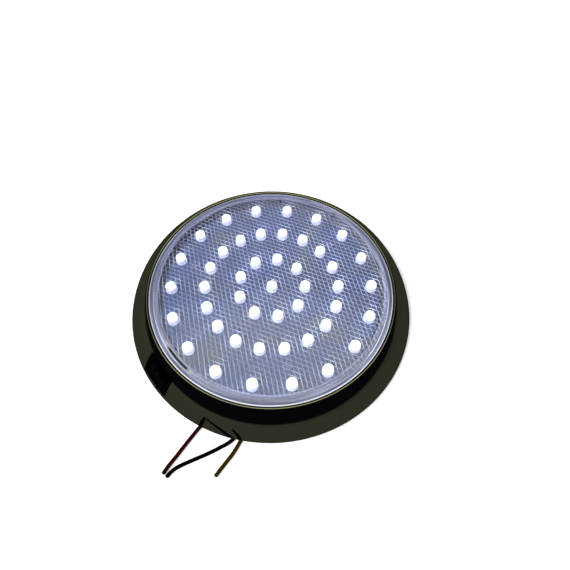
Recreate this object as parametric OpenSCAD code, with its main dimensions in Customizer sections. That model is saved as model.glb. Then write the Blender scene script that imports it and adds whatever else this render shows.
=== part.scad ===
// Round dome light for a vehicle's ceiling, modelled lens up.
// It holds 46 straw-hat LEDs on a round board under a clear lens, a glossy bezel ring
// with a three-position rocker set in its wall, and three leads.
// Millimetres. The origin is on the mounting face, at the lamp's centre, and +Z is the side that shines.
// The rocker is at the front, -Y.

/* [Bezel] */
// Outer radius of the bezel at its lower edge
bezel_r = 72.4; // [71.6:0.1:76]
// Width of the bezel ring, from its outer edge to the window
bezel_w = 12.2; // [11.6:0.1:12.8]
// Height of the bezel's lower edge above the mounting face
bezel_gap = 2.0; // [1.9:0.1:2.3]
// Height of the rounded crest above the lens flange
crest_rise = 3.7; // [3.4:0.05:4]
// Radius of the convex outer wall, seen in section
wall_arc_r = 32; // [30:0.5:34]
// Wall thickness of the bezel
wall_t = 2; // [1.8:0.1:2.2]
// Radius of the rounded crest
crest_r = 0.9; // [0.7:0.05:1.2]
// Number of ribs inside the bezel
bezel_ribs = 12; // [6:6:24]
// Thickness of a bezel rib
bezel_rib_t = 1.4; // [1:0.1:2]

/* [Base plate] */
// Height of the underside of the floor, which leaves room for the leads
floor_z = 2.6; // [2.5:0.1:3.2]
// Thickness of the floor
floor_t = 2; // [1.6:0.1:2.4]
// Height of the rim wall's top
rim_top = 7; // [6.6:0.1:7.2]
// Thickness of the rim wall
rim_t = 2; // [1.6:0.1:2.4]
// Radius of a mounting hole
mount_hole_r = 2.25; // [2:0.05:2.5]
// Radius of a mounting hole's countersink at the top of the floor
countersink_r = 4.2; // [3.5:0.1:4.6]
// Radius of the boss under a mounting hole
mount_boss_r = 5; // [4.6:0.1:6]
// Radius of a post that carries the board
post_r = 3.2; // [2.8:0.1:3.6]
// Thickness of a floor rib
floor_rib_t = 1.6; // [1.2:0.1:2.4]
// Height of a floor rib above the floor
floor_rib_h = 1.5; // [0.8:0.1:1.6]

/* [Foam gasket] */
// Width of the foam gasket
gasket_w = 4.5; // [3:0.1:5]

/* [Board and LEDs] */
// Distance of the outer LED ring from the window's edge
outer_ring_inset = 9.8; // [9.4:0.1:11]
// Number of LEDs in the middle ring and in the outer ring
ring_leds = 18; // [18:6:24]
// Number of LEDs in the inner ring
inner_ring_leds = 9; // [6:3:9]
// Number of LEDs wired in series as one string
string_leds = 3; // [3:1:3]
// Radius of an LED's body
led_r = 2.4; // [2.2:0.05:2.5]
// Radius of an LED's flange
led_flange_r = 2.8; // [2.6:0.05:3]
// Height of an LED above the board
led_h = 5; // [4.6:0.1:5.3]
// Radius of the LED's shallow dome
led_dome_r = 3.1; // [2.8:0.1:4]
// Thickness of an LED's flange
led_flange_t = 0.9; // [0.6:0.1:1.2]
// Distance between an LED's two legs
leg_pitch = 2.54; // [2:0.02:2.6]
// Radius of a leg
leg_r = 0.25; // [0.2:0.05:0.3]
// Height of the board's underside above the mounting face
board_z = 9.8; // [9.6:0.1:10.2]
// Thickness of the board
board_t = 1.6; // [1.2:0.1:2]
// Margin of the board outside the outer LED ring
board_margin = 4.1; // [3.5:0.1:4.4]
// Length of a resistor
resistor_l = 3.2; // [2.4:0.1:3.6]
// Width of a resistor
resistor_w = 1.6; // [1.2:0.1:2]
// Height of a resistor
resistor_h = 0.6; // [0.4:0.05:0.8]

/* [Lens] */
// Thickness of the lens at its centre
lens_t = 1.5; // [1.3:0.1:1.8]
// Rise of the gently domed face from the plain rim band to the centre
lens_rise = 0.6; // [0.3:0.1:0.8]
// Width of the plain band round the lens
band_w = 4.7; // [3.5:0.1:6]
// Width of the lens flange outside the window
flange_w = 2; // [1.6:0.1:2.1]
// Height of the lens's underside above the flange's top
lens_step = 3.2; // [3:0.1:3.6]
// Thickness of the lens skirt
lens_skirt_t = 1.5; // [1.2:0.1:2]

/* [Switch] */
// Width of the switch's face, along the bezel
switch_w = 17.2; // [16.8:0.1:17.8]
// Height of the switch's face, up the bezel's slope
switch_h = 12.3; // [12:0.1:12.8]
// Elevation of the switch's face normal above the horizontal
switch_tilt = 36; // [34:0.5:38]
// Thickness of the switch's face plate
face_t = 1; // [0.8:0.1:1.2]
// Depth of the switch's body behind its face plate
body_d = 7.5; // [7:0.1:7.8]
// Width of the ledge of the face plate outside the body
face_ledge = 1.1; // [0.9:0.1:1.3]
// Wall of the switch's body at the rocker's two ends
switch_end_wall = 1.05; // [0.8:0.05:1.3]
// Wall of the switch's body beside the rocker
switch_side_wall = 1.4; // [1:0.1:1.8]
// Angle between two neighbouring positions of the rocker
rocker_step = 12; // [10:1:13]
// Radius of the rocker's trunnions
trunnion_r = 0.9; // [0.7:0.05:1]
// Width of a terminal blade
blade_w = 2.8; // [2:0.1:3.2]
// Thickness of a terminal blade
blade_t = 0.6; // [0.5:0.05:0.8]
// Length of a terminal blade behind the switch's body
blade_l = 3; // [2.6:0.1:3.2]

/* [Leads] */
// Diameter of a lead
lead_d = 1.7; // [1.5:0.05:1.8]
// Diameter of the jumper wire between the switch and the board
jumper_d = 1.2; // [1:0.05:1.3]
// Radius of the hole in the grommet
grommet_hole_r = 4.4; // [4.3:0.05:4.6]
// Thickness of the grommet's rubber inside the floor
grommet_t = 1; // [0.8:0.1:1.4]

/* [Clearances] */
// Gap between a seat and the flat piece on it that the bezel clamps
seat_gap = 0.1; // [0.05:0.05:0.3]
// Sliding gap round a piece in its pocket or slot
fit_gap = 0.15; // [0.1:0.05:0.25]
// Running gap round the rocker's trunnions
run_gap = 0.06; // [0.04:0.01:0.1]
// Gap between the LED domes and the lens
lens_gap = 0.3; // [0.2:0.1:0.5]
// Gap between the rim wall's top and the bezel wall beside it
rim_gap = 0.7; // [0.6:0.05:0.9]

/* [Hidden] */
$fn = 96;
window_r = bezel_r - bezel_w;
floor_top = floor_z + floor_t;
board_top = board_z + board_t;
lens_under = board_top + led_h + lens_gap;
lens_top = lens_under + lens_t;
lens_edge_z = lens_top - lens_rise;
lens_r = window_r - seat_gap;
flange_r = window_r + flange_w;
flange_top = lens_under - lens_step;
skirt_in_r = flange_r - lens_skirt_t;
ledge_z = flange_top + seat_gap;
band_in_r = lens_r - band_w;
ring_pitch = (window_r - outer_ring_inset) / 3;
screw_ring_r = 2.5 * ring_pitch;
board_r = 3 * ring_pitch + board_margin;
crest_c = [window_r + crest_r, flange_top + crest_rise - crest_r];
foot = [bezel_r, bezel_gap];

// Centre of the wall's arc: it passes through the foot and touches the crest's circle from outside
function arc_centre(a, b, ra, rb) =
  let (d = norm(b - a))
  let (x = (ra * ra - rb * rb + d * d) / (2 * d))
  let (h = sqrt(ra * ra - x * x))
  let (u = (b - a) / d)
  a + x * u + h * [-u[1], u[0]];

arc_c = arc_centre(foot, crest_c, wall_arc_r, wall_arc_r - crest_r);
crest_a = atan2(crest_c[1] - arc_c[1], crest_c[0] - arc_c[0]);
// Radius of the bezel's inner wall at a height
function inner_wall_r(z) = arc_c[0] + sqrt(pow(wall_arc_r - wall_t, 2) - pow(z - arc_c[1], 2));

rim_r = inner_wall_r(rim_top) - rim_gap;
lug_d = 0.7;
lug_top = rim_top - 0.8;
lug_h = 1.3;
catch_h = 1.2;
catch_top = lug_top - lug_h - 0.3;
catch_in_r = rim_r + 0.25;
clip_angles = [30, 90, 150, 210, 330];
mount_angles = [30, 150, 270];
post_angles = [90, 210, 330];
floor_rib_angles = [0, 60, 120, 180];
hub_r = 8;
lead_gap_angles = [287, 315];
led_offset = 10;
leg_below = 1.2;
leg_gap = 0.12;
pilot_r = 1.1;
screw_r = 1;
screw_head_r = 2.3;
screw_head_h = 1.6;
screw_l = 5;
recess_l = 3;
recess_w = 0.6;
recess_d = 0.8;
diode_l = 4.2;
diode_w = 2.6;
diode_h = 2;
diode_a = 200;

// The switch's own frame: x along the bezel, y up the slope, z out of the face plate's underside
seat_r = arc_c[0] + (wall_arc_r - 1.6) * cos(switch_tilt);
seat_z = arc_c[1] + (wall_arc_r - 1.6) * sin(switch_tilt);
body_w = switch_w - 2 * face_ledge;
body_h = switch_h - 2 * (face_ledge - 0.15);
switch_gap_w = switch_w + 2 * fit_gap;
corner_r = 1;
pivot_z = -0.4;
end_gap = 0.25;
side_gap = 0.2;
cavity_w = body_w - 2 * switch_end_wall;
cavity_h = body_h - 2 * switch_side_wall;
rocker_r = cavity_w / 2 - end_gap;
rocker_w = cavity_h - 2 * side_gap;
cavity_d = 5.4;
trunnion_l = 0.9;
trunnion_span = rocker_w + 2 * trunnion_l;
blade_y = 0.415 * rocker_w;
blade_pitch = 0.73 * rocker_r;
pad_t = 0.6;
wire_room = 4;
blade_xs = [-blade_pitch, 0, blade_pitch];

grommet_p = [13.5, -31.6];
grommet_core_r = grommet_hole_r + grommet_t;
grommet_flange_r = grommet_core_r + 1.2;
grommet_flange_t = 0.6;

// Routes of the leads, points chosen by hand: from the switch or the board, down through the grommet,
// round under the floor and out under the rim, along the surface that the lamp stands on
lead_z = 0.9;
yellow_route = [
  [-4.5, -56.15, 5.7], [-4.5, -54.8, 5.5], [-4.2, -52.4, 5.5], [-1.0, -49.2, 5.5], [3.8, -47.6, 5.5],
  [8.2, -44.6, 5.5], [10.5, -40.6, 6.0], [11, -37.4, 6.4], [11, -35.3, 6.4], [11, -33.3, 5.0],
  [11, -31.6, 3.2],
  [11, -30.1, 1.5], [11, -28, lead_z], [11.4, -22.5, lead_z], [14.2, -17.2, lead_z], [19, -14.4, lead_z],
  [25, -14.4, lead_z], [29.8, -17.2, lead_z], [32.6, -22, lead_z], [33.4, -28, lead_z],
  [35, -34.5, lead_z], [38, -41.5, lead_z], [41.5, -48, lead_z], [44, -53, lead_z],
  [45.7, -57.5, lead_z], [47.2, -62, lead_z], [48.3, -67.5, lead_z], [49.4, -73, lead_z]
];
black_route = [
  [4.5, -56.15, 5.7], [4.5, -54.8, 5.5], [5.2, -52.4, 5.5], [8.8, -49, 5.5], [12, -45, 5.5],
  [13.3, -40.8, 6.0], [13.5, -38.4, 6.4], [13.5, -36.2, 6.4], [13.5, -33.8, 5.0], [13.5, -31.6, 3.2],
  [13.5, -30.1, 1.5],
  [13.5, -28, lead_z], [14, -22.2, lead_z], [17.4, -17.8, lead_z], [22, -16.6, lead_z],
  [26.6, -17.8, lead_z], [29.6, -21.6, lead_z], [30.6, -27, lead_z], [31.8, -34, lead_z],
  [35, -41.5, lead_z], [39, -49, lead_z], [41.8, -54.5, lead_z], [42.6, -59.5, lead_z],
  [41.6, -64.8, lead_z], [40.2, -70, lead_z], [38.4, -75.5, lead_z], [36.6, -81, lead_z],
  [35.8, -85, lead_z], [36.2, -88.6, lead_z]
];
red_route = [
  [19.5, -43, 8.85], [18.6, -40.2, 8.7], [17.4, -37.6, 7.9], [16.4, -35.2, 6.7], [16, -33.3, 5.0],
  [16, -31.6, 3.2], [16, -30, 1.6], [16, -27.6, lead_z], [17, -22.4, lead_z], [20, -19.4, lead_z],
  [24, -19.4, lead_z],
  [27, -22.4, lead_z], [28, -27.5, lead_z], [27.8, -35, lead_z], [27.6, -43, lead_z],
  [27.6, -51, lead_z], [28, -59, lead_z], [28.9, -67, lead_z], [30.4, -74, lead_z],
  [32, -80.5, lead_z], [33, -85, lead_z], [34.2, -89, lead_z]
];
// Route of the jumper wire, from the middle terminal's end to its pad under the board
blade_end = [
  0,
  -seat_r + blade_y * sin(switch_tilt) + (body_d + blade_l) * cos(switch_tilt),
  seat_z + blade_y * cos(switch_tilt) - (body_d + blade_l) * sin(switch_tilt)
];
jumper_pad = [-6.6, 7.9 - board_r, board_z - jumper_d / 2 - fit_gap];
jumper_route = [
  blade_end + [0, 0.25, 0], blade_end + [0, 1.1, 0.1], blade_end + [-1, 2.4, 0.7],
  [-3, (blade_end[1] + jumper_pad[1]) / 2, jumper_pad[2] - 0.8], jumper_pad + [2, -3, 0], jumper_pad
];

strings_per_ring = ring_leds / string_leds;
inner_strings = inner_ring_leds / string_leds;
function names(stem, n) = [for (i = [1:n]) str(stem, "_", i)];

// Turns its children into the switch's frame
module at_switch() {
  translate([0, -seat_r, seat_z])
    rotate([90 - switch_tilt, 0, 0])
      children();
}

// One sector of a revolved section, from one angle to another
module sector(a0, a1) {
  rotate([0, 0, a0])
    rotate_extrude(angle = a1 - a0)
      children();
}

// Places its children on a ring at each angle of a list
module on_ring(r, angles) {
  for (a = angles)
    rotate([0, 0, a])
      translate([r, 0, 0])
        children();
}

// A plate with four round corners, centred on the z axis
module round_plate(w, h, r, t) {
  cube_w = w - 2 * r;
  cube_h = h - 2 * r;
  union() {
    translate([-cube_w / 2, -h / 2, 0])
      cube([cube_w, h, t]);
    translate([-w / 2, -cube_h / 2, 0])
      cube([w, cube_h, t]);
    for (x = [-1, 1], y = [-1, 1])
      translate([x * cube_w / 2, y * cube_h / 2, 0])
        cylinder(r = r, h = t, $fn = 32);
  }
}

// A block centred on the z axis
module block(w, h, z0, z1) {
  translate([-w / 2, -h / 2, z0])
    cube([w, h, z1 - z0]);
}

// The space that the switch's body takes in the rim, the floor, the gasket and the lens
module switch_bay(z0, z1, inner_r) {
  translate([-switch_gap_w / 2, -bezel_r, z0])
    cube([switch_gap_w, bezel_r - inner_r, z1 - z0]);
}

module floor_hole(a) {
  rotate([0, 0, a])
    translate([screw_ring_r, 0, 0]) {
      translate([0, 0, -1])
        cylinder(r = mount_hole_r, h = floor_top + 2);
      translate([0, 0, floor_top - 1.2])
        cylinder(r1 = mount_hole_r, r2 = countersink_r + 0.3, h = 1.3);
    }
}

module base_section() {
  translate([0, floor_z])
    square([rim_r - rim_t / 2, floor_t]);
  translate([rim_r - rim_t, 0])
    square([rim_t, rim_top]);
}

module clip_lug() {
  polygon([
    [rim_r - 0.5, lug_top - lug_h], [rim_r + lug_d, lug_top - lug_h],
    [rim_r + lug_d, lug_top - 0.6], [rim_r, lug_top], [rim_r - 0.5, lug_top]
  ]);
}

module base_plate() {
  color("gainsboro")
    difference() {
      union() {
        rotate_extrude()
          base_section();
        on_ring(screw_ring_r, mount_angles)
          cylinder(r = mount_boss_r, h = floor_top);
        on_ring(screw_ring_r, post_angles)
          translate([0, 0, floor_z])
            cylinder(r = post_r, h = board_z - floor_z);
        for (a = clip_angles)
          sector(a - 5, a + 5)
            clip_lug();
        for (a = floor_rib_angles)
          rotate([0, 0, a])
            translate([hub_r, -floor_rib_t / 2, floor_top - 0.5])
              cube([skirt_in_r - 0.4 - hub_r, floor_rib_t, floor_rib_h + 0.5]);
      }
      for (a = mount_angles)
        floor_hole(a);
      on_ring(screw_ring_r, post_angles)
        translate([0, 0, floor_z + 0.6])
          cylinder(r = pilot_r, h = board_z);
      translate([grommet_p[0], grommet_p[1], -1])
        cylinder(r = grommet_core_r, h = floor_top + 2);
      sector(lead_gap_angles[0], lead_gap_angles[1])
        translate([rim_r - rim_t - 1, -1])
          square([rim_t + 3, floor_z + 1]);
      switch_bay(-1, rim_top + 1, -blade_end[1] - wire_room);
    }
}

module foam_gasket() {
  gasket_r = rim_r - rim_t - 0.5;
  color("dimgray")
    difference() {
      sector(lead_gap_angles[1], lead_gap_angles[0] + 360)
        translate([gasket_r - gasket_w, 0])
          square([gasket_w, floor_z]);
      switch_bay(-1, floor_z + 1, gasket_r - gasket_w - 1);
    }
}

// Solid section of the bezel's wall, rounded crest and clamping ledge
module bezel_section() {
  mask_r = (bezel_gap - arc_c[1]) / tan(crest_a);
  far = 2 * wall_arc_r;
  intersection() {
    translate(arc_c)
      difference() {
        circle(r = wall_arc_r, $fn = 180);
        circle(r = wall_arc_r - wall_t, $fn = 180);
      }
    polygon([
      [arc_c[0] + mask_r, bezel_gap],
      [arc_c[0] + far * cos(crest_a), arc_c[1] + far * sin(crest_a)],
      [arc_c[0] + far, arc_c[1] + far * sin(crest_a)],
      [arc_c[0] + far, bezel_gap]
    ]);
  }
  translate(crest_c)
    circle(r = crest_r, $fn = 48);
  translate([window_r, ledge_z])
    square([flange_w + 0.6, crest_c[1] - ledge_z]);
}

// Section of a rib, between the rim wall's top and the wall's middle
module bezel_rib_section() {
  rib_in_r = flange_r + 0.4;
  rib_z = rim_top + seat_gap;
  intersection() {
    translate(arc_c)
      circle(r = wall_arc_r - wall_t / 2, $fn = 180);
    translate([rib_in_r, rib_z])
      square([bezel_r - rib_in_r, ledge_z + 0.4 - rib_z]);
  }
}

module catch_section() {
  intersection() {
    translate(arc_c)
      circle(r = wall_arc_r - wall_t / 2, $fn = 180);
    polygon([
      [catch_in_r, catch_top - catch_h + 0.5], [catch_in_r, catch_top], [bezel_r, catch_top],
      [bezel_r, catch_top - catch_h], [catch_in_r + 0.5, catch_top - catch_h]
    ]);
  }
}

module bezel() {
  color([0.13, 0.13, 0.1])
    difference() {
      union() {
        rotate_extrude()
          bezel_section();
        for (i = [0:bezel_ribs - 1])
          rotate([90, 0, (i + 0.5) * 360 / bezel_ribs])
            linear_extrude(bezel_rib_t, center = true)
              bezel_rib_section();
        for (a = clip_angles)
          sector(a - 6, a + 6)
            catch_section();
      }
      at_switch() {
        round_plate(switch_w + 2 * fit_gap, switch_h + 2 * fit_gap, corner_r + fit_gap, body_d);
        block(body_w + 2 * fit_gap, body_h + 2 * fit_gap, -4, 1);
      }
    }
}

// Height of the lens's upper face at a radius
function lens_z(r) = lens_top - lens_rise * pow(r / band_in_r, 2);

module lens_section() {
  wall_in_r = lens_r - lens_t;
  polygon(concat(
    [[0, lens_under]],
    [for (i = [0:8]) [band_in_r * i / 8, lens_z(band_in_r * i / 8)]],
    [
      [lens_r - 1.5, lens_edge_z - 0.2], [lens_r - 0.4, lens_edge_z - 0.6], [lens_r, lens_edge_z - 1.2],
      [lens_r, flange_top], [flange_r, flange_top], [flange_r, floor_top],
      [skirt_in_r, floor_top], [skirt_in_r, flange_top - lens_skirt_t], [wall_in_r, flange_top],
      [wall_in_r, lens_under - 0.8], [wall_in_r - 0.8, lens_under]
    ]
  ));
}

module lens() {
  color([0.8, 0.85, 0.95, 0.5])
    difference() {
      rotate_extrude()
        lens_section();
      switch_bay(floor_top - 1, flange_top + 0.2, skirt_in_r - body_d - face_t);
    }
}

module led_board() {
  color("white")
    difference() {
      translate([0, 0, board_z])
        cylinder(r = board_r, h = board_t);
      on_ring(screw_ring_r, post_angles)
        translate([0, 0, board_z - 1])
          cylinder(r = screw_r + 0.3, h = board_t + 2);
      leg_holes(0, 1, 0);
      leg_holes(ring_pitch, inner_ring_leds, led_offset);
      leg_holes(2 * ring_pitch, ring_leds, led_offset);
      leg_holes(3 * ring_pitch, ring_leds, led_offset);
    }
}

// The holes for the legs of one ring of LEDs
module leg_holes(r, n, offset_a) {
  for (i = [0:n - 1])
    rotate([0, 0, offset_a + i * 360 / n])
      for (side = [-1, 1])
        translate([r, side * leg_pitch / 2, board_z - 1])
          cylinder(r = leg_r + leg_gap, h = board_t + 2, $fn = 24);
}

// One straw-hat LED standing on the board at a radius, with its two legs
module led(r) {
  top = board_top + led_h;
  translate([r, 0, 0]) {
    intersection() {
      translate([0, 0, board_top])
        cylinder(r = led_r, h = led_h, $fn = 48);
      translate([0, 0, top - led_dome_r])
        sphere(r = led_dome_r, $fn = 64);
    }
    translate([0, 0, board_top])
      cylinder(r = led_r, h = led_h - led_dome_r + sqrt(pow(led_dome_r, 2) - pow(led_r, 2)), $fn = 48);
    translate([0, 0, board_top])
      cylinder(r = led_flange_r, h = led_flange_t, $fn = 48);
    for (side = [-1, 1])
      translate([0, side * leg_pitch / 2, board_z - leg_below])
        cylinder(r = leg_r, h = board_t + leg_below + 0.3, $fn = 24);
  }
}

// One series string: neighbouring LEDs of a ring
module led_string(r, n, k) {
  color("white")
    for (i = [0:string_leds - 1])
      rotate([0, 0, led_offset + (k * string_leds + i) * 360 / n])
        led(r);
}

module centre_led() {
  color("white")
    led(0);
}

module resistors() {
  color([0.1, 0.1, 0.1])
    for (i = [0:ring_leds - 1])
      if (i != 13 && i != 14)
        rotate([0, 0, i * 360 / ring_leds])
          translate([screw_ring_r - resistor_l / 2, -resistor_w / 2, board_z - resistor_h])
            cube([resistor_l, resistor_w, resistor_h]);
}

module rectifier_diode() {
  color([0.12, 0.12, 0.12])
    rotate([0, 0, diode_a])
      translate([1.5 * ring_pitch - diode_l / 2, -diode_w / 2, board_z - diode_h])
        cube([diode_l, diode_w, diode_h]);
}

module board_screws() {
  color("silver")
    on_ring(screw_ring_r, post_angles)
      translate([0, 0, board_top]) {
        difference() {
          cylinder(r1 = screw_head_r, r2 = screw_head_r * 0.8, h = screw_head_h, $fn = 48);
          for (turn = [0, 90])
            rotate([0, 0, turn])
              block(recess_l, recess_w, screw_head_h - recess_d, screw_head_h + recess_d);
        }
        translate([0, 0, -screw_l])
          cylinder(r = screw_r, h = screw_l + screw_head_h / 4, $fn = 32);
      }
}

module switch_housing() {
  barb_out = 0.7;
  barb_top = -1.9;
  barb = [[body_w / 2 - 0.2, barb_top - 3 * barb_out], [body_w / 2 + barb_out, barb_top],
    [body_w / 2 - 0.2, barb_top]];
  color([0.06, 0.06, 0.06])
    at_switch()
      difference() {
        union() {
          round_plate(switch_w, switch_h, corner_r, face_t);
          block(body_w, body_h, -body_d, 0.1);
          for (side = [0, 1])
            mirror([side, 0, 0])
              rotate([90, 0, 0])
                linear_extrude(body_h / 2, center = true)
                  polygon(barb);
        }
        block(cavity_w, cavity_h, -cavity_d, face_t + 1);
        translate([0, 0, pivot_z])
          rotate([90, 0, 0])
            cylinder(r = trunnion_r + run_gap, h = trunnion_span + side_gap, center = true, $fn = 48);
        for (x = blade_xs)
          translate([x, blade_y, 0])
            block(blade_w + 0.1, blade_t + 0.1, -body_d - 1, -cavity_d + 1);
      }
}

// Side view of the rocker in its middle position, about its pivot
module rocker_section() {
  top_mid = 1.7;
  top_end = top_mid + rocker_r * sin(rocker_step);
  intersection() {
    circle(r = rocker_r, $fn = 120);
    polygon([
      [-rocker_r, top_end], [0, top_mid], [rocker_r, top_end],
      [rocker_r, -2.8], [-rocker_r, -2.8]
    ]);
  }
}

module switch_rocker() {
  color([0.05, 0.05, 0.05])
    at_switch()
      translate([0, 0, pivot_z])
        rotate([0, -rocker_step, 0]) {
          difference() {
            rotate([90, 0, 0])
              linear_extrude(rocker_w, center = true)
                rocker_section();
            block(2 * rocker_r - 4, rocker_w - 2.4, -4, 0.2);
          }
          rotate([90, 0, 0])
            cylinder(r = trunnion_r, h = trunnion_span, center = true, $fn = 48);
          block(2.4, rocker_w, -2.8, 0.4);
        }
}

// One terminal: a contact pad on the cavity's floor and a blade through the body's back
module terminal(x) {
  color([0.8, 0.65, 0.3])
    at_switch()
      translate([x, blade_y, 0]) {
        block(blade_w, blade_t, -body_d - blade_l, -cavity_d + 0.1);
        translate([0, -blade_t, 0])
          block(blade_w, 2 * blade_t, -cavity_d, pad_t - cavity_d);
      }
}

module lead_grommet() {
  color([0.1, 0.1, 0.1])
    translate([grommet_p[0], grommet_p[1], 0])
      difference() {
        union() {
          translate([0, 0, floor_z - grommet_flange_t])
            cylinder(r = grommet_flange_r, h = floor_t + 2 * grommet_flange_t);
        }
        translate([0, 0, floor_z])
          difference() {
            cylinder(r = grommet_flange_r + 1, h = floor_t);
            translate([0, 0, -1])
              cylinder(r = grommet_core_r, h = floor_t + 2);
          }
        cylinder(r = grommet_hole_r, h = floor_top + 2);
      }
}

// Unit direction of a route at one of its points
function heading(p, i) =
  let (d = p[min(i + 1, len(p) - 1)] - p[max(i - 1, 0)])
  d / norm(d);

// Ring of points round a route's point, square to its heading
function ring(p, i, r, n) =
  let (t = heading(p, i))
  let (s = cross([0, 0, 1], t) / norm(cross([0, 0, 1], t)))
  let (u = cross(t, s))
  [for (k = [0:n - 1]) p[i] + r * cos(360 * (k + 0.5) / n) * s + r * sin(360 * (k + 0.5) / n) * u];

module tube(route, d) {
  n = 8;
  m = len(route);
  points = [for (i = [0:m - 1]) each ring(route, i, d / 2, n)];
  sides = [for (i = [0:m - 2], k = [0:n - 1])
    [i * n + k, (i + 1) * n + k, (i + 1) * n + (k + 1) % n, i * n + (k + 1) % n]];
  first = [for (k = [0:n - 1]) k];
  last = [for (k = [0:n - 1]) m * n - 1 - k];
  polyhedron(points = points, faces = concat(sides, [first], [last]), convexity = 10);
}

base_plate();
foam_gasket();
bezel();
lens();
led_board();
centre_led();
for (i = [1:inner_strings]) {
  led_string(ring_pitch, inner_ring_leds, i - 1);
}
for (i = [1:strings_per_ring]) {
  led_string(2 * ring_pitch, ring_leds, i - 1);
  led_string(3 * ring_pitch, ring_leds, i - 1);
}
resistors();
rectifier_diode();
board_screws();
switch_housing();
switch_rocker();
terminal(blade_pitch);  // terminal_on
terminal(0);  // terminal_common
terminal(-blade_pitch);  // terminal_door
color("firebrick") tube(jumper_route, jumper_d);  // switch_jumper
lead_grommet();
color([0.35, 0.03, 0.05]) tube(red_route, lead_d);  // red_lead
color([0.03, 0.03, 0.03]) tube(black_route, lead_d);  // black_lead
color([0.42, 0.36, 0.05]) tube(yellow_route, lead_d);  // yellow_lead
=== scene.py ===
"""Looks of a round LED dome light, dressed over its CAD frame.

The frame's bodies are lamp and rocker. Sizes are in millimetres, times MM where they reach Blender,
and the frame is the row's own: the origin on the mounting face, +Z out of the lens, the rocker at -Y.
"""

import math

import bmesh
import bpy
import numpy as np
from mathutils import Matrix, Vector


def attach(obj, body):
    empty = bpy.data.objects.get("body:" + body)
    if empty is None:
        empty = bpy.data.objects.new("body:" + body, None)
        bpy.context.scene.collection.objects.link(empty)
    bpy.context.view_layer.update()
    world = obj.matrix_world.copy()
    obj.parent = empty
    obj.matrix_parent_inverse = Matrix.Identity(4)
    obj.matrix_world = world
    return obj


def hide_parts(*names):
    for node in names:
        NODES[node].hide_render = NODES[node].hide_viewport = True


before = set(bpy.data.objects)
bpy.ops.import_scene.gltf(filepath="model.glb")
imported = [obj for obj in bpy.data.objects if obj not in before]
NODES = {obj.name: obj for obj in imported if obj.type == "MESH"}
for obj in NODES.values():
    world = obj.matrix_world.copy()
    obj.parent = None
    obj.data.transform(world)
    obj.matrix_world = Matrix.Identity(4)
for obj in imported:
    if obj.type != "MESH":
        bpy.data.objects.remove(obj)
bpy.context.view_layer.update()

MM = 0.001

# Edge angles in degrees up to which a mesh is smooth
SMOOTH = 40
LENS_SMOOTH = 25
LEAD_SMOOTH = 50

# Camera, at the photograph's viewing angle
CAMERA_AT = (77.35, -62.87, 183.6)
CAMERA_TURN = math.radians(46.95)
CAMERA_ELEVATION = math.radians(59.395)
CAMERA_ROLL = math.radians(2.196)
CAMERA_LENS = 24.62
CAMERA_SENSOR = 36
CAMERA_CLIP = 5
PHOTO_SIDE = 570

# Lens, as the CAD has it
WINDOW_R = 60.2
LENS_R = 60.1
BAND_IN_R = 55.4
LENS_UNDER = 16.7
LENS_TOP = 18.2
LENS_RISE = 0.6
LENS_WALL_IN_R = 58.6
LENS_CHAMFER = 0.8
FLANGE_R = 62.2
FLANGE_TOP = 13.5
SKIRT_IN_R = 60.7
SKIRT_T = 1.5
FLOOR_TOP = 4.6
SWITCH_BAY_W = 17.5
SWITCH_BAY_Y = (-75, -52)
# The round edge outside the dome: how far in from the lens's edge, and how far below the dome's foot
LENS_ROUNDING = ((1.5, 0.2), (0.9, 0.4), (0.4, 0.6), (0.12, 0.85), (0, 1.2))

# The lens's material slots
CLEAR, BAND, EDGE, RIDGE = range(4)

# Bezel and switch, as the CAD has them
FOOT_R = 72.4
FOOT_Z = 2.0
WALL_ARC = (42.1139, -8.3320)
WALL_ARC_R = 32
WALL_T = 2
CREST = (61.1, 16.3)
CREST_R = 0.9
LEDGE_Z = 13.6
RIB = ((62.6, 7.1), (69.0, 7.1), (68.0, 9.0), (66.6, 11.0), (65.0, 12.7), (63.6, 14.0), (62.6, 14.0))
RIB_T = 1.4
RIBS = 12
CATCH = ((67.45, 3.9), (67.45, 4.6), (70.4, 4.6), (70.7, 3.4), (67.95, 3.4))
# Angles of a catch's sections about its clip, in degrees
CATCH_TURNS = range(-6, 7, 2)
CLIP_ANGLES = (30, 90, 150, 210, 330)
SEAT = (66.7080, 9.5366)
SWITCH_TILT = math.radians(36)
PIVOT_Z = -0.4
ROCKER_STEP = math.radians(12)
ROCKER_MID_Z = 1.7
# Openings for the switch's face plate and for its body: width, height and corner radius
FACE_OPENING = (17.5, 12.6, 1.15)
BODY_OPENING = (15.3, 10.7, 0.1)
# Break of the bezel's lower outer edge, which the CAD leaves sharp
FOOT_EDGE = 0.15

# How finely the lens and the bezel are divided, finer than in the CAD
LENS_SEGMENTS = 256
DOME_STEPS = 24
BEZEL_TURNS = 360
WALL_STEPS = 30
CREST_STEPS = 16
INNER_STEPS = 16

# Zone of the crest whose plating is far brighter: a painted highlight line there, over a real reflection
# of the world's bright zone
CREST_IN_R = 60.75
CREST_OUT_R = 61.2
CREST_Z = 16.9

# Marks on the rocker, let in a little: a bar, a ring and a pair of bars
MARK_X = 3.4
MARK_PAIR = 0.4
MARK_HALF_W = 0.15
MARK_HALF_H = 0.8
MARK_RING = (0.55, 0.85)
MARK_RING_STEPS = 24
MARK_LIFTS = (-0.1, 0.03)

# Dark card in the floor's opening for the switch, invented: painted shade, which hides the lit stage that
# would show there
CARD_LOW = (-8.6, -61.4, 3.0)
CARD_HIGH = (8.6, -52.6, 3.4)

# Prism pattern in the lens's underside: a rhombic grid of ridges between shallow pits
RIDGE_ANGLE = math.radians(28)
SHALLOW_PITCH = 2.13
STEEP_PITCH = 2.10
PIT_DEPTH = 0.22
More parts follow.
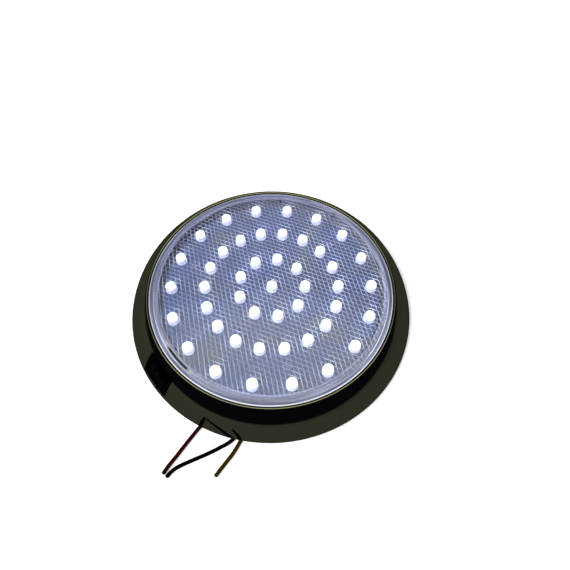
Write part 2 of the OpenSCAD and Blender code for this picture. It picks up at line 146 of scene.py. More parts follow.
# A pit's levels: height above the lens's underside, and distance from the middle of a steep ridge
PIT_LEVELS = ((-0.08, 0.06), (0.0, 0.08), (0.1, 0.11), (PIT_DEPTH - 0.05, 0.13), (PIT_DEPTH, 0.16))
# Distance from the middle of a shallow ridge, as a share of the other
SHALLOW_INSET = 0.6
PATTERN_R = 57.3
PIT_REACH = 1.6

# Painted glints on the ridges, for the light that they throw: its reaches from an LED, and the base and
# the gain of each set
GLINT_REACH = 9.0
HALO_REACH = 4.2
STEEP_GLINT = (0.17, 0.8)
SHALLOW_GLINT = (0.1, 0.5)
GLINT_POWER = 3
RIDGE_SLOPE = 0.2

# Painted dark streak in the rim band: along X and outwards where it starts, is full, fades and ends
STREAK_X = (-9.0, -4.0, 9.0, 14.0)
STREAK_R = (56.3, 56.8, 57.8, 58.3)
STREAK_Y = (-40, -45)

# Rings of LEDs, as the CAD has them: each ring's radius in pitches, and its count
RING_PITCH = 16.8
RINGS = ((1, 9), (2, 18), (3, 18))
LED_OFFSET = 10

# Heights between which the LEDs' glow and tint change
LED_GLOW_Z = (13.4, 14.9)
LED_TINT_Z = (13.0, 15.0)

# Stage and key lamp
STAGE_HALF = 9000
KEY_AT = (-120, -620, 900)
KEY_SIZE = 500
KEY_POWER = 12

# Routes of the leads, as the CAD has them
LEAD_D = 1.7
LEAD_Z = 0.9
LEAD_STEPS = 6
LEAD_SIDES = 20
STRANDS = 6
STRAND_R = 0.15
STRAND_SIDES = 8
STRAND_OUT = 0.25
# Distance between the middles of two strands, in their radii
STRAND_PITCH = 2.1
YELLOW_ROUTE = [
    (-4.5, -56.15, 5.7), (-4.5, -54.8, 5.5), (-4.2, -52.4, 5.5), (-1.0, -49.2, 5.5), (3.8, -47.6, 5.5),
    (8.2, -44.6, 5.5), (10.5, -40.6, 6.0), (11, -37.4, 6.4), (11, -35.3, 6.4), (11, -33.3, 5.0),
    (11, -31.6, 3.2), (11, -30.1, 1.5), (11, -28, LEAD_Z), (11.4, -22.5, LEAD_Z),
    (14.2, -17.2, LEAD_Z), (19, -14.4, LEAD_Z), (25, -14.4, LEAD_Z), (29.8, -17.2, LEAD_Z),
    (32.6, -22, LEAD_Z), (33.4, -28, LEAD_Z), (35, -34.5, LEAD_Z), (38, -41.5, LEAD_Z),
    (41.5, -48, LEAD_Z), (44, -53, LEAD_Z), (45.7, -57.5, LEAD_Z), (47.2, -62, LEAD_Z),
    (48.3, -67.5, LEAD_Z), (49.4, -73, LEAD_Z),
]
BLACK_ROUTE = [
    (4.5, -56.15, 5.7), (4.5, -54.8, 5.5), (5.2, -52.4, 5.5), (8.8, -49, 5.5), (12, -45, 5.5),
    (13.3, -40.8, 6.0), (13.5, -38.4, 6.4), (13.5, -36.2, 6.4), (13.5, -33.8, 5.0),
    (13.5, -31.6, 3.2), (13.5, -30.1, 1.5), (13.5, -28, LEAD_Z), (14, -22.2, LEAD_Z),
    (17.4, -17.8, LEAD_Z), (22, -16.6, LEAD_Z), (26.6, -17.8, LEAD_Z), (29.6, -21.6, LEAD_Z),
    (30.6, -27, LEAD_Z), (31.8, -34, LEAD_Z), (35, -41.5, LEAD_Z), (39, -49, LEAD_Z),
    (41.8, -54.5, LEAD_Z), (42.6, -59.5, LEAD_Z), (41.6, -64.8, LEAD_Z), (40.2, -70, LEAD_Z),
    (38.4, -75.5, LEAD_Z), (36.6, -81, LEAD_Z), (35.8, -85, LEAD_Z), (36.2, -88.6, LEAD_Z),
]
RED_ROUTE = [
    (19.5, -43, 8.85), (18.6, -40.2, 8.7), (17.4, -37.6, 7.9), (16.4, -35.2, 6.7), (16, -33.3, 5.0),
    (16, -31.6, 3.2), (16, -30, 1.6), (16, -27.6, LEAD_Z), (17, -22.4, LEAD_Z), (20, -19.4, LEAD_Z),
    (24, -19.4, LEAD_Z), (27, -22.4, LEAD_Z), (28, -27.5, LEAD_Z), (27.8, -35, LEAD_Z),
    (27.6, -43, LEAD_Z), (27.6, -51, LEAD_Z), (28, -59, LEAD_Z), (28.9, -67, LEAD_Z),
    (30.4, -74, LEAD_Z), (32, -80.5, LEAD_Z), (33, -85, LEAD_Z), (34.2, -89, LEAD_Z),
]


def metres(point):
    return tuple(v * MM for v in point)


def srgb(r, g, b):
    """Linear colour of an sRGB one given from 0 to 255."""
    def linear(v):
        v = v / 255
        return v / 12.92 if v <= 0.04045 else ((v + 0.055) / 1.055) ** 2.4
    return (linear(r), linear(g), linear(b), 1.0)


def add_camera():
    sin_e, cos_e = math.sin(CAMERA_ELEVATION), math.cos(CAMERA_ELEVATION)
    sin_r, cos_r = math.sin(CAMERA_ROLL), math.cos(CAMERA_ROLL)
    right = Vector((cos_r, sin_r * sin_e, sin_r * cos_e))
    up = Vector((-sin_r, cos_r * sin_e, cos_r * cos_e))
    back = Vector((0, -cos_e, sin_e))
    turn = Matrix.Rotation(CAMERA_TURN, 3, "Z")
    axes = Matrix([turn @ right, turn @ up, turn @ back]).transposed()
    data = bpy.data.cameras.new("camera")
    data.lens = CAMERA_LENS
    data.sensor_width = CAMERA_SENSOR
    data.clip_start = CAMERA_CLIP * MM
    # The axis meets the picture half a pixel right of its middle and half a pixel below it
    data.shift_x = -0.5 / PHOTO_SIDE
    data.shift_y = 0.5 / PHOTO_SIDE
    camera = bpy.data.objects.new("camera", data)
    bpy.context.scene.collection.objects.link(camera)
    camera.matrix_world = Matrix.Translation(metres(CAMERA_AT)) @ axes.to_4x4()
    bpy.context.scene.camera = camera


def set_stops(ramp, stops):
    """Gives a ramp its colours at places from 0 to 1."""
    elements = ramp.color_ramp.elements
    while len(elements) < len(stops):
        elements.new(0.5)
    for element, (place, colour) in zip(elements, stops):
        element.position = place
        element.color = colour


class Nodes:
    """Short calls for building one material's node tree."""

    def __init__(self, name):
        self.material = bpy.data.materials.new(name)
        self.material.use_nodes = True
        self.tree = self.material.node_tree
        self.shader = self.tree.nodes["Principled BSDF"]
        self.output = self.tree.nodes["Material Output"]

    def node(self, kind, **settings):
        made = self.tree.nodes.new(kind)
        for key, value in settings.items():
            setattr(made, key, value)
        return made

    def link(self, source, target):
        self.tree.links.new(source, target)

    def set(self, **values):
        """Sets the shader's inputs, with _ for each space in a name."""
        for key, value in values.items():
            self.shader.inputs[key.replace("_", " ")].default_value = value

    def position(self, scale=1.0):
        """Object coordinates, in metres times scale."""
        coordinates = self.node("ShaderNodeTexCoord")
        mapping = self.node("ShaderNodeMapping")
        mapping.inputs["Scale"].default_value = (scale, scale, scale)
        self.link(coordinates.outputs["Object"], mapping.inputs["Vector"])
        return mapping.outputs["Vector"]

    def noise(self, size, detail=3.0, vector=None):
        """Noise whose blotches are about size millimetres across."""
        made = self.node("ShaderNodeTexNoise")
        made.inputs["Scale"].default_value = 1.0 / (size * MM)
        made.inputs["Detail"].default_value = detail
        self.link(vector or self.position(), made.inputs["Vector"])
        return made.outputs["Fac"]

    def ramp(self, factor, stops):
        """Colours at places from 0 to 1."""
        made = self.node("ShaderNodeValToRGB")
        set_stops(made, stops)
        self.link(factor, made.inputs["Fac"])
        return made.outputs["Color"]

    def span(self, value, low, high, to_low=0.0, to_high=1.0):
        """Moves the range from low to high onto another one, and clamps it there."""
        made = self.node("ShaderNodeMapRange")
        made.inputs["From Min"].default_value = low
        made.inputs["From Max"].default_value = high
        made.inputs["To Min"].default_value = to_low
        made.inputs["To Max"].default_value = to_high
        self.link(value, made.inputs["Value"])
        return made.outputs["Result"]

    def times(self, a, b):
        made = self.node("ShaderNodeMath", operation="MULTIPLY")
        self.link(a, made.inputs[0])
        self.link(b, made.inputs[1])
        return made.outputs[0]

    def window(self, value, start, full, fade, end):
        """1 from full to fade, and 0 before start and after end."""
        return self.times(self.span(value, start, full), self.span(value, end, fade))

    def blotches(self, size, colour, darkest, lightest):
        """A colour that wanders between a darker and a lighter shade of itself."""
        darker = tuple(c * darkest for c in colour[:3]) + (1.0,)
        lighter = tuple(min(1.0, c * lightest) for c in colour[:3]) + (1.0,)
        return self.ramp(self.noise(size), [(0.3, darker), (0.7, lighter)])

    def uneven(self, size, value, share):
        """A value that wanders by a share of itself."""
        return self.span(self.noise(size), 0.3, 0.7, value * (1 - share), value * (1 + share))

    def bump(self, height, strength, distance):
        made = self.node("ShaderNodeBump")
        made.inputs["Strength"].default_value = strength
        made.inputs["Distance"].default_value = distance * MM
        self.link(height, made.inputs["Height"])
        self.link(made.outputs["Normal"], self.shader.inputs["Normal"])


def moulded(name, colour, roughness, grain=0.4, depth=0.02, metallic=0.0):
    """Moulded or cast surface: a colour with slight blotches, uneven gloss and a fine grain."""
    m = Nodes(name)
    m.set(Metallic=metallic)
    m.link(m.blotches(9.0, colour, 0.88, 1.12), m.shader.inputs["Base Color"])
    m.link(m.uneven(3.0, roughness, 0.15), m.shader.inputs["Roughness"])
    m.bump(m.noise(grain, 2.0), 0.25, depth)
    return m.material


def pvc(name, colour):
    """Soft plastic of a lead's jacket, or paint."""
    m = Nodes(name)
    m.set(Specular_IOR_Level=0.0)
    m.link(m.blotches(6.0, colour, 0.8, 1.15), m.shader.inputs["Base Color"])
    m.link(m.span(m.noise(1.5), 0.3, 0.7, 0.3, 0.42), m.shader.inputs["Roughness"])
    m.bump(m.noise(0.5, 2.0), 0.2, 0.02)
    return m.material


def catmull(points, steps):
    """Smooth points through the given ones, steps to a stretch."""
    pts = [Vector(p) for p in points]
    pts = [2 * pts[0] - pts[1]] + pts + [2 * pts[-1] - pts[-2]]
    out = []
    for i in range(1, len(pts) - 2):
        a, b, c, d = pts[i - 1:i + 3]
        for k in range(steps):
            t = k / steps
            out.append(0.5 * (2 * b + (c - a) * t + (2 * a - 5 * b + 4 * c - d) * t * t
                              + (3 * b - a - 3 * c + d) * t ** 3))
    return out + [pts[-2]]


def frames_along(points):
    """A point, a side and an up direction at each of the points, without twist."""
    side = Vector((0, 0, 1))
    out = []
    for i, p in enumerate(points):
        along = (points[min(i + 1, len(points) - 1)] - points[max(i - 1, 0)]).normalized()
        side = (side - along * side.dot(along)).normalized()
        out.append((p, side.copy(), along.cross(side)))
    return out


def loft(bm, rings, closed=False, slot=0):
    """A solid through rings of points, with caps at its ends or closed on itself."""
    loops = [[bm.verts.new(p) for p in ring] for ring in rings]
    following = loops[1:] + loops[:1] if closed else loops[1:]
    for a, b in zip(loops, following):
        for k in range(len(a)):
            n = (k + 1) % len(a)
            bm.faces.new((a[k], a[n], b[n], b[k])).material_index = slot
    if not closed:
        bm.faces.new(list(reversed(loops[0]))).material_index = slot
        bm.faces.new(loops[-1]).material_index = slot


def sweep(bm, points, radius, sides, slot=0):
    """A closed round tube along the points."""
    turns = [2 * math.pi * k / sides for k in range(sides)]
    rings = [[p + radius * (math.cos(a) * side + math.sin(a) * up) for a in turns]
             for p, side, up in frames_along(points)]
    loft(bm, rings, slot=slot)


def mesh_piece(name, bm, materials, angle=SMOOTH):
    """An object of a bmesh in millimetres, smooth up to an edge angle in degrees."""
    bmesh.ops.recalc_face_normals(bm, faces=bm.faces)
    mesh = bpy.data.meshes.new(name)
    bm.to_mesh(mesh)
    bm.free()
    mesh.transform(Matrix.Scale(MM, 4))
    for polygon in mesh.polygons:
        polygon.use_smooth = True
    mesh.set_sharp_from_angle(angle=math.radians(angle))
    for material in materials:
        mesh.materials.append(material)
    made = bpy.data.objects.new(name, mesh)
    bpy.context.scene.collection.objects.link(made)
    return made


def add_lead(name, node, route, jacket, copper):
    """A lead: its jacket, and the ends of its strands in the cut at the far end."""
    line = catmull(route, LEAD_STEPS)
    bm = bmesh.new()
    sweep(bm, line, LEAD_D / 2, LEAD_SIDES)
    end, side, up = frames_along(line)[-1]
    along = side.cross(up)
    for s in range(STRANDS + 1):
        reach = 0 if s == STRANDS else STRAND_PITCH * STRAND_R
        a = 2 * math.pi * s / STRANDS
        at = end + reach * (math.cos(a) * side + math.sin(a) * up)
        sweep(bm, [at - STRAND_OUT * along, at + STRAND_OUT * along], STRAND_R, STRAND_SIDES, 1)
    made = mesh_piece(name, bm, [jacket, copper], LEAD_SMOOTH)
    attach(made, "lamp")
    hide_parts(node)


add_camera()
COPPER = moulded("tinned_copper", srgb(150, 140, 125), 0.3, grain=0.3, depth=0.01, metallic=1.0)
RED_PVC = pvc("red_pvc", srgb(40, 7, 7))
BLACK_PVC = pvc("black_pvc", srgb(3, 3, 3))
YELLOW_PVC = pvc("yellow_pvc", srgb(50, 36, 6))
add_lead("red_lead_wire", "red_lead", RED_ROUTE, RED_PVC, COPPER)
add_lead("black_lead_wire", "black_lead", BLACK_ROUTE, BLACK_PVC, COPPER)
add_lead("yellow_lead_wire", "yellow_lead", YELLOW_ROUTE, YELLOW_PVC, COPPER)


def revolve(bm, profile, segments, slots):
    """A closed solid of a profile of (radius, height) turned about Z. It starts and ends on the axis."""
    rings = []
    for r, z in profile:
        if r == 0:
            rings.append([bm.verts.new((0, 0, z))])
            continue
        ring = []
        for k in range(segments):
            a = 2 * math.pi * k / segments
            ring.append(bm.verts.new((r * math.cos(a), r * math.sin(a), z)))
        rings.append(ring)
    for a, b, slot in zip(rings, rings[1:], slots):
        for k in range(segments):
            n = (k + 1) % segments
            if len(a) == 1:
                corners = (a[0], b[k], b[n])
            elif len(b) == 1:
                corners = (a[k], b[0], a[n])
            else:
                corners = (a[k], b[k], b[n], a[n])
            bm.faces.new(corners).material_index = slot


def lens_height(r):
    return LENS_TOP - LENS_RISE * (r / BAND_IN_R) ** 2


def lens_body():
    """The lens as one revolved solid, before its pits and the switch's notch."""
    foot_z = LENS_TOP - LENS_RISE
    radii = [BAND_IN_R * i / DOME_STEPS for i in range(DOME_STEPS + 1)]
    dome = [(r, lens_height(r)) for r in radii]
    edge = [(LENS_R - inward, foot_z - down) for inward, down in LENS_ROUNDING]
    inside = [
        (LENS_R, FLANGE_TOP), (FLANGE_R, FLANGE_TOP), (FLANGE_R, FLOOR_TOP), (SKIRT_IN_R, FLOOR_TOP),
        (SKIRT_IN_R, FLANGE_TOP - SKIRT_T), (LENS_WALL_IN_R, FLANGE_TOP),
        (LENS_WALL_IN_R, LENS_UNDER - LENS_CHAMFER), (LENS_WALL_IN_R - LENS_CHAMFER, LENS_UNDER),
        (BAND_IN_R, LENS_UNDER), (0, LENS_UNDER),
    ]
    slots = [CLEAR] * DOME_STEPS + [BAND] * 3 + [EDGE] * 2 + [CLEAR] * len(inside)
    bm = bmesh.new()
    revolve(bm, dome + edge + inside, LENS_SEGMENTS, slots)
    return bm


def grid_corner(a, b):
    """The point on line a of the shallow set and line b of the steep set."""
    return ((b - a) / (2 * math.sin(RIDGE_ANGLE)), (a + b) / (2 * math.cos(RIDGE_ANGLE)))


def pits():
    """The rhombic pits, each with a flat floor and sides in steps."""
    bm = bmesh.new()
    reach = int(PATTERN_R / STEEP_PITCH) + 2
    for i in range(-reach, reach):
        for j in range(-reach, reach):
            middle = Vector(grid_corner((i + 0.5) * SHALLOW_PITCH, (j + 0.5) * STEEP_PITCH))
            if middle.length > PATTERN_R + PIT_REACH:
                continue
            rings = []
            for height, inset in PIT_LEVELS:
                beside = inset * SHALLOW_INSET
                low_a, high_a = i * SHALLOW_PITCH + beside, (i + 1) * SHALLOW_PITCH - beside
                low_b, high_b = j * STEEP_PITCH + inset, (j + 1) * STEEP_PITCH - inset
                corners = [(low_a, low_b), (high_a, low_b), (high_a, high_b), (low_a, high_b)]
                rings.append([bm.verts.new((*grid_corner(a, b), LENS_UNDER + height)) for a, b in corners])
            for a, b in zip(rings, rings[1:]):
                for k in range(4):
                    n = (k + 1) % 4
                    bm.faces.new((a[k], a[n], b[n], b[k])).material_index = RIDGE
            bm.faces.new(list(reversed(rings[0]))).material_index = CLEAR
            bm.faces.new(rings[-1]).material_index = CLEAR
    return bm


def apply_modifiers(piece):
    """Replaces the piece's mesh by what its modifiers make of it."""
    graph = bpy.context.evaluated_depsgraph_get()
    mesh = bpy.data.meshes.new_from_object(piece.evaluated_get(graph), depsgraph=graph)
    piece.modifiers.clear()
    piece.data = mesh


def cut(piece, tool, operation="DIFFERENCE"):
    modifier = piece.modifiers.new("cut", "BOOLEAN")
    modifier.operation = operation
    modifier.solver = "MANIFOLD"
    modifier.object = tool
    modifier.material_mode = "TRANSFER"
    apply_modifiers(piece)
    bpy.data.objects.remove(tool)


def box(low, high):
    """A block between two corners."""
    bm = bmesh.new()
    bmesh.ops.create_cube(bm, size=1)
    centre = (Vector(low) + Vector(high)) / 2
    size = Vector(high) - Vector(low)
    bm.transform(Matrix.Translation(centre) @ Matrix.Diagonal(size.to_4d()))
    return bm


CLEAR_TINT = (0.97, 0.98, 1.0, 1.0)


def clear_shader(name, glow_colour, glow=0.0, milk=0.0):
    """Clear plastic with a faint painted glow for the light inside it, and lets lamps through."""
    m = Nodes(name)
    m.set(IOR=1.49, Roughness=0.0, Transmission_Weight=1.0 - milk, Base_Color=CLEAR_TINT,
          Emission_Color=glow_colour, Emission_Strength=glow)
    clear = m.node("ShaderNodeBsdfTransparent")
    clear.inputs["Color"].default_value = (0.9, 0.91, 0.94, 1.0)
    rays = m.node("ShaderNodeLightPath")
    mix = m.node("ShaderNodeMixShader")
    m.link(rays.outputs["Is Shadow Ray"], mix.inputs[0])
    m.link(m.shader.outputs[0], mix.inputs[1])
    m.link(clear.outputs[0], mix.inputs[2])
    m.link(mix.outputs[0], m.output.inputs["Surface"])
    return m


def band_shader():
    """The rim band, with painted streaks of light that run round it and a painted dark streak next to the
    switch.
    """
    m = clear_shader("lens_band", srgb(190, 199, 245))
    split = m.node("ShaderNodeSeparateXYZ")
    m.link(m.position(1 / MM), split.inputs[0])
    flat = m.node("ShaderNodeCombineXYZ")
    m.link(split.outputs["X"], flat.inputs["X"])
    m.link(split.outputs["Y"], flat.inputs["Y"])
    radius = m.node("ShaderNodeVectorMath", operation="LENGTH")
    m.link(flat.outputs[0], radius.inputs[0])
    heading = m.node("ShaderNodeVectorMath", operation="NORMALIZE")
    m.link(flat.outputs[0], heading.inputs[0])
    # Noise over the heading, which changes slowly round the band, and the radius, which changes fast
    around = m.node("ShaderNodeVectorMath", operation="MULTIPLY_ADD")
    m.link(heading.outputs[0], around.inputs[0])
    around.inputs[1].default_value = (2.2, 2.2, 2.2)
    lift = m.node("ShaderNodeCombineXYZ")
    m.link(radius.outputs["Value"], lift.inputs["Z"])
    m.link(lift.outputs[0], around.inputs[2])
    # Painted glow in streaks round the band, for the light inside it
    glow = m.span(m.noise(1 / MM, 2.0, around.outputs[0]), 0.35, 0.65, 0.1, 0.38)
    # A dark streak next to the switch, as the photo shows; painted, as its cause isn't known
    shade = m.times(m.window(split.outputs["X"], *STREAK_X), m.span(split.outputs["Y"], *STREAK_Y))
    shade = m.times(shade, m.window(radius.outputs["Value"], *STREAK_R))
    shade = m.times(shade, m.span(m.noise(6.0, 1.0), 0.3, 0.45, 0.75, 1.0))
    clear = m.span(shade, 0.0, 1.0, 1.0, 0.0)
    m.link(m.times(glow, clear), m.shader.inputs["Emission Strength"])
    m.link(m.span(clear, 0.0, 1.0, 0.0, 0.97), m.shader.inputs["Transmission Weight"])
    tint = m.ramp(clear, [(0.0, srgb(22, 28, 44)), (1.0, CLEAR_TINT)])
    m.link(tint, m.shader.inputs["Base Color"])
    return m.material


def ridge_shader():
    """A ridge, with a painted glow that is brightest where its painted glint is."""
    m = clear_shader("lens_ridge", srgb(200, 209, 242), milk=0.1)
    glint = m.node("ShaderNodeAttribute", attribute_name="glint")
    # The glint attribute sets the strength of the ridge's painted glow
    m.link(m.span(glint.outputs["Fac"], 0.0, 1.0, 0.09, 0.8), m.shader.inputs["Emission Strength"])
    return m.material


def led_spots():
    """Where the LEDs stand: one at the centre and three rings."""
    spots = [(0, 0)]
    for pitches, count in RINGS:
        radius = pitches * RING_PITCH
        for i in range(count):
            a = math.radians(LED_OFFSET + 360 * i / count)
            spots.append((radius * math.cos(a), radius * math.sin(a)))
    return spots


def add_glints(body):
    """Gives each ridge face a painted glint for its share of thrown light: most where it squarely faces an
    LED close to it.
    """
    mesh = body.data
    glints = mesh.attributes.new("glint", "FLOAT", "FACE")
    spots = np.array(led_spots())
    for face, glint in zip(mesh.polygons, glints.data):
        at = np.array(face.center[:2]) / MM
        slope = math.hypot(face.normal.x, face.normal.y)
        if face.material_index != RIDGE or slope < RIDGE_SLOPE or np.hypot(*at) > BAND_IN_R:
            continue
        way = spots - at
        far = np.hypot(way[:, 0], way[:, 1]) + 0.1
        square = np.abs(way @ np.array(face.normal[:2])) / (far * slope)
        base, gain = STEEP_GLINT if face.normal.x * face.normal.y > 0 else SHALLOW_GLINT
        wide = np.exp(-(far / GLINT_REACH) ** 2) * square ** GLINT_POWER
        halo = np.exp(-(far / HALO_REACH) ** 2) * square
        glint.value = float(base + gain * np.max(wide) + np.max(halo))


def add_lens():
    """The lens, with the switch's notch and the prism pattern, in four clear materials, each with a
    painted glow for the light inside it.
    """
    materials = [
        clear_shader("lens_clear", srgb(120, 130, 170), 0.01).material,
        band_shader(),
        # The edge's strong painted glow is the bright line of light along the lens's rim
        clear_shader("lens_edge", srgb(225, 230, 245), 0.85, milk=0.2).material,
        ridge_shader(),
    ]
    body = mesh_piece("prism_lens", lens_body(), materials, LENS_SMOOTH)
    half_w = SWITCH_BAY_W / 2
    bay = box((-half_w, SWITCH_BAY_Y[0], FLOOR_TOP - 1), (half_w, SWITCH_BAY_Y[1], FLANGE_TOP + 0.2))
    cut(body, mesh_piece("bay_tool", bay, materials))
    pattern = mesh_piece("pit_tool", pits(), materials)
    rim = bmesh.new()
    bmesh.ops.create_cone(rim, cap_ends=True, segments=LENS_SEGMENTS, radius1=PATTERN_R,
                          radius2=PATTERN_R, depth=4)
    for face in rim.faces:
        face.material_index = RIDGE
    bmesh.ops.translate(rim, verts=rim.verts, vec=(0, 0, LENS_UNDER))
    cut(pattern, mesh_piece("rim_tool", rim, materials), "INTERSECT")
    cut(body, pattern)
    body.data.set_sharp_from_angle(angle=math.radians(LENS_SMOOTH))
    add_glints(body)
    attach(body, "lamp")
    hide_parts("lens")


add_lens()


def paint(node, material):
    """Gives a CAD node one material."""
    node.data.materials.clear()
    node.data.materials.append(material)


def led_material():
    """Lit resin, brightest and whitest at the dome."""
    m = Nodes("led_glow")
    m.set(IOR=1.5, Roughness=0.25, Base_Color=srgb(150, 155, 185))
    height = m.node("ShaderNodeSeparateXYZ")
    m.link(m.position(1 / MM), height.inputs[0])
    glow = m.span(height.outputs["Z"], *LED_GLOW_Z, 0.6, 1.3)
    m.link(glow, m.shader.inputs["Emission Strength"])
    share = m.span(height.outputs["Z"], *LED_TINT_Z)
    tint = m.ramp(share, [(0.0, srgb(190, 194, 230)), (1.0, (1, 1, 1, 1))])
    m.link(tint, m.shader.inputs["Emission Color"])
    return m.material


def board_material():
    """The board's lacquer, with a little painted glow for the LEDs' light on it."""
    m = Nodes("board_lacquer")
    # Painted glow: the lacquer's own colour given off as light, for the LEDs' light on the board
    m.set(IOR=1.5, Roughness=0.45, Emission_Strength=0.2)
    patch = m.noise(16.0, 2.0)
    colour = m.ramp(patch, [(0.3, srgb(52, 67, 98)), (0.55, srgb(52, 62, 85)), (0.72, srgb(60, 70, 75))])
    m.link(colour, m.shader.inputs["Base Color"])
    m.link(colour, m.shader.inputs["Emission Color"])
    m.bump(m.noise(0.8, 2.0), 0.2, 0.02)
    return m.material


def plating(name, colour, roughness=0.04):
    """Black plating or polished black plastic: a dark mirror, equally dark from every side."""
    m = Nodes(name)
    mirror = m.node("ShaderNodeBsdfGlossy")
    mirror.inputs["Color"].default_value = colour
    m.link(m.uneven(14.0, roughness, 0.2), mirror.inputs["Roughness"])
    m.link(mirror.outputs[0], m.output.inputs["Surface"])
    m.tree.nodes.remove(m.shader)
    return m.material


def turned(outline, angle):
    """A section of (radius, height) set at an angle round Z."""
    return [(r * math.cos(angle), r * math.sin(angle), z) for r, z in outline]


def arc(centre, radius, start, end, steps):
    turns = [start + (end - start) * i / steps for i in range(steps + 1)]
    return [(centre[0] + radius * math.cos(a), centre[1] + radius * math.sin(a)) for a in turns]


def bezel_outline():
    """The bezel's section: from its foot up the wall, over the crest, and down inside."""
    def rise(radius, z):
        return math.asin((z - WALL_ARC[1]) / radius)
    crest_a = math.atan2(CREST[1] - WALL_ARC[1], CREST[0] - WALL_ARC[0])
    inner_r = WALL_ARC_R - WALL_T
    wall = arc(WALL_ARC, WALL_ARC_R, rise(WALL_ARC_R, FOOT_Z + FOOT_EDGE), crest_a, WALL_STEPS)
    crest = arc(CREST, CREST_R, crest_a, math.pi, CREST_STEPS)[1:]
    inside = arc(WALL_ARC, inner_r, rise(inner_r, LEDGE_Z), rise(inner_r, FOOT_Z), INNER_STEPS)
    return [(FOOT_R - FOOT_EDGE, FOOT_Z)] + wall + crest + [(WINDOW_R, LEDGE_Z)] + inside


# The switch's own frame: x along the bezel, y up its slope, z out of it
SWITCH_PLACE = (Matrix.Translation((0, -SEAT[0], SEAT[1]))
                @ Matrix.Rotation(math.pi / 2 - SWITCH_TILT, 4, "X"))


def round_outline(width, height, radius, z):
    """A rectangle with round corners, at a height."""
    out = []
    for quarter, (x, y) in enumerate(((1, 1), (-1, 1), (-1, -1), (1, -1))):
        for cx, cy in arc((x * (width / 2 - radius), y * (height / 2 - radius)), radius,
                          quarter * math.pi / 2, (quarter + 1) * math.pi / 2, 6):
            out.append((cx, cy, z))
    return out


def ribs_and_catches():
    """What stands inside the bezel: its ribs, and the catches over the base plate's lugs."""
    bm = bmesh.new()
    for i in range(RIBS):
        a = 2 * math.pi * (i + 0.5) / RIBS
        side = Vector((-math.sin(a), math.cos(a), 0)) * RIB_T / 2
        middle = [Vector(p) for p in turned(RIB, a)]
        loft(bm, [[p - side for p in middle], [p + side for p in middle]])
    for a in CLIP_ANGLES:
        loft(bm, [turned(CATCH, math.radians(a + d)) for d in CATCH_TURNS])
    return bm


def switch_opening(size, low, high):
    """A tool for one of the switch's openings, between two heights over its seat."""
    bm = bmesh.new()
    outlines = [round_outline(*size, z) for z in (low, high)]
    loft(bm, [[SWITCH_PLACE @ Vector(p) for p in outline] for outline in outlines])
    return bm


def add_bezel():
    """The bezel, with a painted highlight line on its crest: far brighter plating there, which mirrors the
    world's bright zone.
    """
    materials = [plating("black_chrome", (0.0195, 0.021, 0.0125, 1.0)),
                 # The second plating, far brighter, paints a highlight line on the crest over its real
                 # reflection
                 plating("crest_painted_highlight", (0.42, 0.42, 0.19, 1.0))]
    bm = bmesh.new()
    turns = [2 * math.pi * k / BEZEL_TURNS for k in range(BEZEL_TURNS)]
    loft(bm, [turned(bezel_outline(), a) for a in turns], closed=True)
    for face in bm.faces:
        at = face.calc_center_median()
        if at.z > CREST_Z and CREST_IN_R < math.hypot(at.x, at.y) < CREST_OUT_R:
            face.material_index = 1
    body = mesh_piece("bezel_ring", bm, materials)
    cut(body, mesh_piece("rib_tool", ribs_and_catches(), materials), "UNION")
    cut(body, mesh_piece("face_tool", switch_opening(FACE_OPENING, 0, 7.5), materials))
    cut(body, mesh_piece("body_tool", switch_opening(BODY_OPENING, -4, 1), materials))
    body.data.set_sharp_from_angle(angle=math.radians(SMOOTH))
    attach(body, "lamp")
    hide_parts("bezel")


add_bezel()


def add_marks():
    """The marks on the rocker, which follow its two slopes."""
    place = SWITCH_PLACE @ Matrix.Translation((0, 0, PIVOT_Z)) @ Matrix.Rotation(-ROCKER_STEP, 4, "Y")
    low, high = MARK_LIFTS
    inner_r, outer_r = MARK_RING
    bm = bmesh.new()

    def on_rocker(x, y, lift):
        return place @ Vector((x, y, ROCKER_MID_Z + abs(x) * math.sin(ROCKER_STEP) + lift))

    def bar(x):
        corners = ((-1, -1), (1, -1), (1, 1), (-1, 1))
        loft(bm, [[on_rocker(x + w * MARK_HALF_W, h * MARK_HALF_H, lift) for w, h in corners]
                  for lift in MARK_LIFTS])

    bar(-MARK_X)
    bar(MARK_X - MARK_PAIR)
    bar(MARK_X + MARK_PAIR)
    section = ((inner_r, low), (outer_r, low), (outer_r, high), (inner_r, high))
    rings = []
    for k in range(MARK_RING_STEPS):
        a = 2 * math.pi * k / MARK_RING_STEPS
        rings.append([on_rocker(r * math.cos(a), r * math.sin(a), lift) for r, lift in section])
    loft(bm, rings, closed=True)
    marks = mesh_piece("rocker_marks", bm, [pvc("mark_paint", srgb(17, 17, 18))])
    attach(marks, "rocker")


add_marks()


def add_shade_card():
    # A dark sheet that paints the shade seen in the opening
    card_painted_shade = moulded("card_painted_shade", srgb(16, 18, 26), 0.8)
    card = mesh_piece("notch_shade_card", box(CARD_LOW, CARD_HIGH), [card_painted_shade])
    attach(card, "lamp")


add_shade_card()


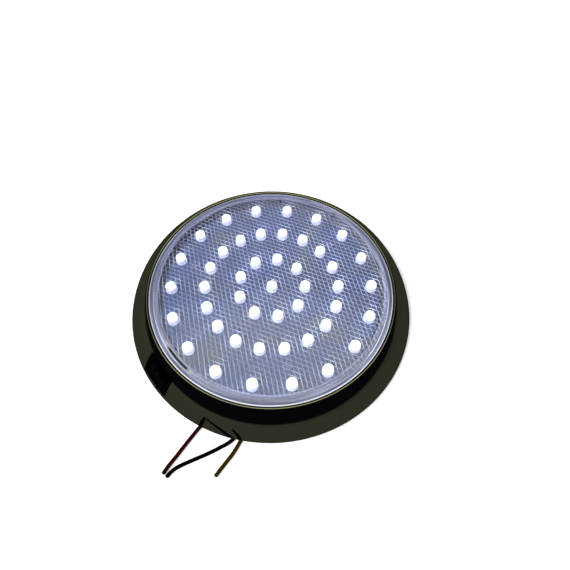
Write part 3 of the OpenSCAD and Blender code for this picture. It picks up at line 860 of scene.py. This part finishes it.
LED_GLOW = led_material()
for name, node in NODES.items():
    if name.endswith("led") or "_leds_" in name:
        paint(node, LED_GLOW)
paint(NODES["led_board"], board_material())
paint(NODES["base_plate"], moulded("base_plastic", srgb(96, 98, 108), 0.5))
paint(NODES["foam_gasket"], moulded("gasket_foam", srgb(40, 40, 42), 0.9, grain=0.7, depth=0.15))
paint(NODES["resistors"], moulded("resistor_body", srgb(26, 26, 28), 0.4))
paint(NODES["rectifier_diode"], moulded("diode_body", srgb(20, 20, 22), 0.4))
paint(NODES["board_screws"], moulded("screw_paint", srgb(88, 92, 116), 0.5))
paint(NODES["switch_housing"], plating("switch_body", (0.0009, 0.0009, 0.001, 1.0), 0.3))
paint(NODES["switch_rocker"], plating("rocker_plastic", (0.0014, 0.0014, 0.0015, 1.0), 0.2))
for name in ("terminal_on", "terminal_common", "terminal_door"):
    paint(NODES[name], moulded(name + "_brass", srgb(205, 170, 95), 0.3, metallic=1.0))
paint(NODES["switch_jumper"], pvc("jumper_pvc", srgb(110, 12, 14)))
paint(NODES["lead_grommet"], moulded("grommet_rubber", srgb(20, 20, 21), 0.7))


def add_stage():
    """The plain pale floor."""
    bm = bmesh.new()
    bmesh.ops.create_grid(bm, x_segments=1, y_segments=1, size=STAGE_HALF)
    m = Nodes("floor_paint")
    m.set(Roughness=0.9, Base_Color=(0.93, 0.93, 0.93, 1.0), Specular_IOR_Level=0.1,
          Emission_Color=(1.0, 1.0, 1.0, 1.0), Emission_Strength=0.3)
    floor = mesh_piece("floor", bm, [m.material])


def add_world():
    """Soft light. The camera sees white, and glossy rays see dusk between two bright zones."""
    world = bpy.data.worlds.new("studio")
    world.use_nodes = True
    tree = world.node_tree
    tree.nodes.clear()

    def background(colour, strength=1.0):
        made = tree.nodes.new("ShaderNodeBackground")
        made.inputs["Color"].default_value = colour
        made.inputs["Strength"].default_value = strength
        return made

    def choose(ray, otherwise, chosen):
        """One shader for rays of a kind, and another for the rest."""
        made = tree.nodes.new("ShaderNodeMixShader")
        tree.links.new(rays.outputs[ray], made.inputs[0])
        tree.links.new(otherwise.outputs[0], made.inputs[1])
        tree.links.new(chosen.outputs[0], made.inputs[2])
        return made

    coordinates = tree.nodes.new("ShaderNodeTexCoord")
    split = tree.nodes.new("ShaderNodeSeparateXYZ")
    tree.links.new(coordinates.outputs["Generated"], split.inputs[0])
    ramp = tree.nodes.new("ShaderNodeValToRGB")
    white = (1, 1, 1, 1)
    dusk = (0.1, 0.085, 0.22, 1)
    set_stops(ramp, [(0.01, (0.9, 0.9, 0.9, 1)), (0.03, dusk), (0.85, dusk), (0.90, white)])
    tree.links.new(split.outputs["Z"], ramp.inputs["Fac"])
    mirrored = background(white)
    tree.links.new(ramp.outputs["Color"], mirrored.inputs["Color"])
    rays = tree.nodes.new("ShaderNodeLightPath")
    lit = choose("Is Glossy Ray", background((0.8, 0.8, 0.8, 1), 0.55), mirrored)
    seen = choose("Is Camera Ray", lit, background(white))
    out = tree.nodes.new("ShaderNodeOutputWorld")
    tree.links.new(seen.outputs[0], out.inputs[0])
    bpy.context.scene.world = world


def add_key_lamp():
    """A large lamp that the bezel doesn't mirror."""
    data = bpy.data.lights.new("key", "AREA")
    data.size = KEY_SIZE * MM
    data.energy = KEY_POWER
    lamp = bpy.data.objects.new("key", data)
    bpy.context.scene.collection.objects.link(lamp)
    lamp.location = metres(KEY_AT)
    lamp.rotation_euler = (-Vector(metres(KEY_AT))).to_track_quat("-Z", "Y").to_euler()
    lamp.visible_glossy = False


add_stage()
add_world()
add_key_lamp()
bpy.context.scene.view_settings.view_transform = "Standard"
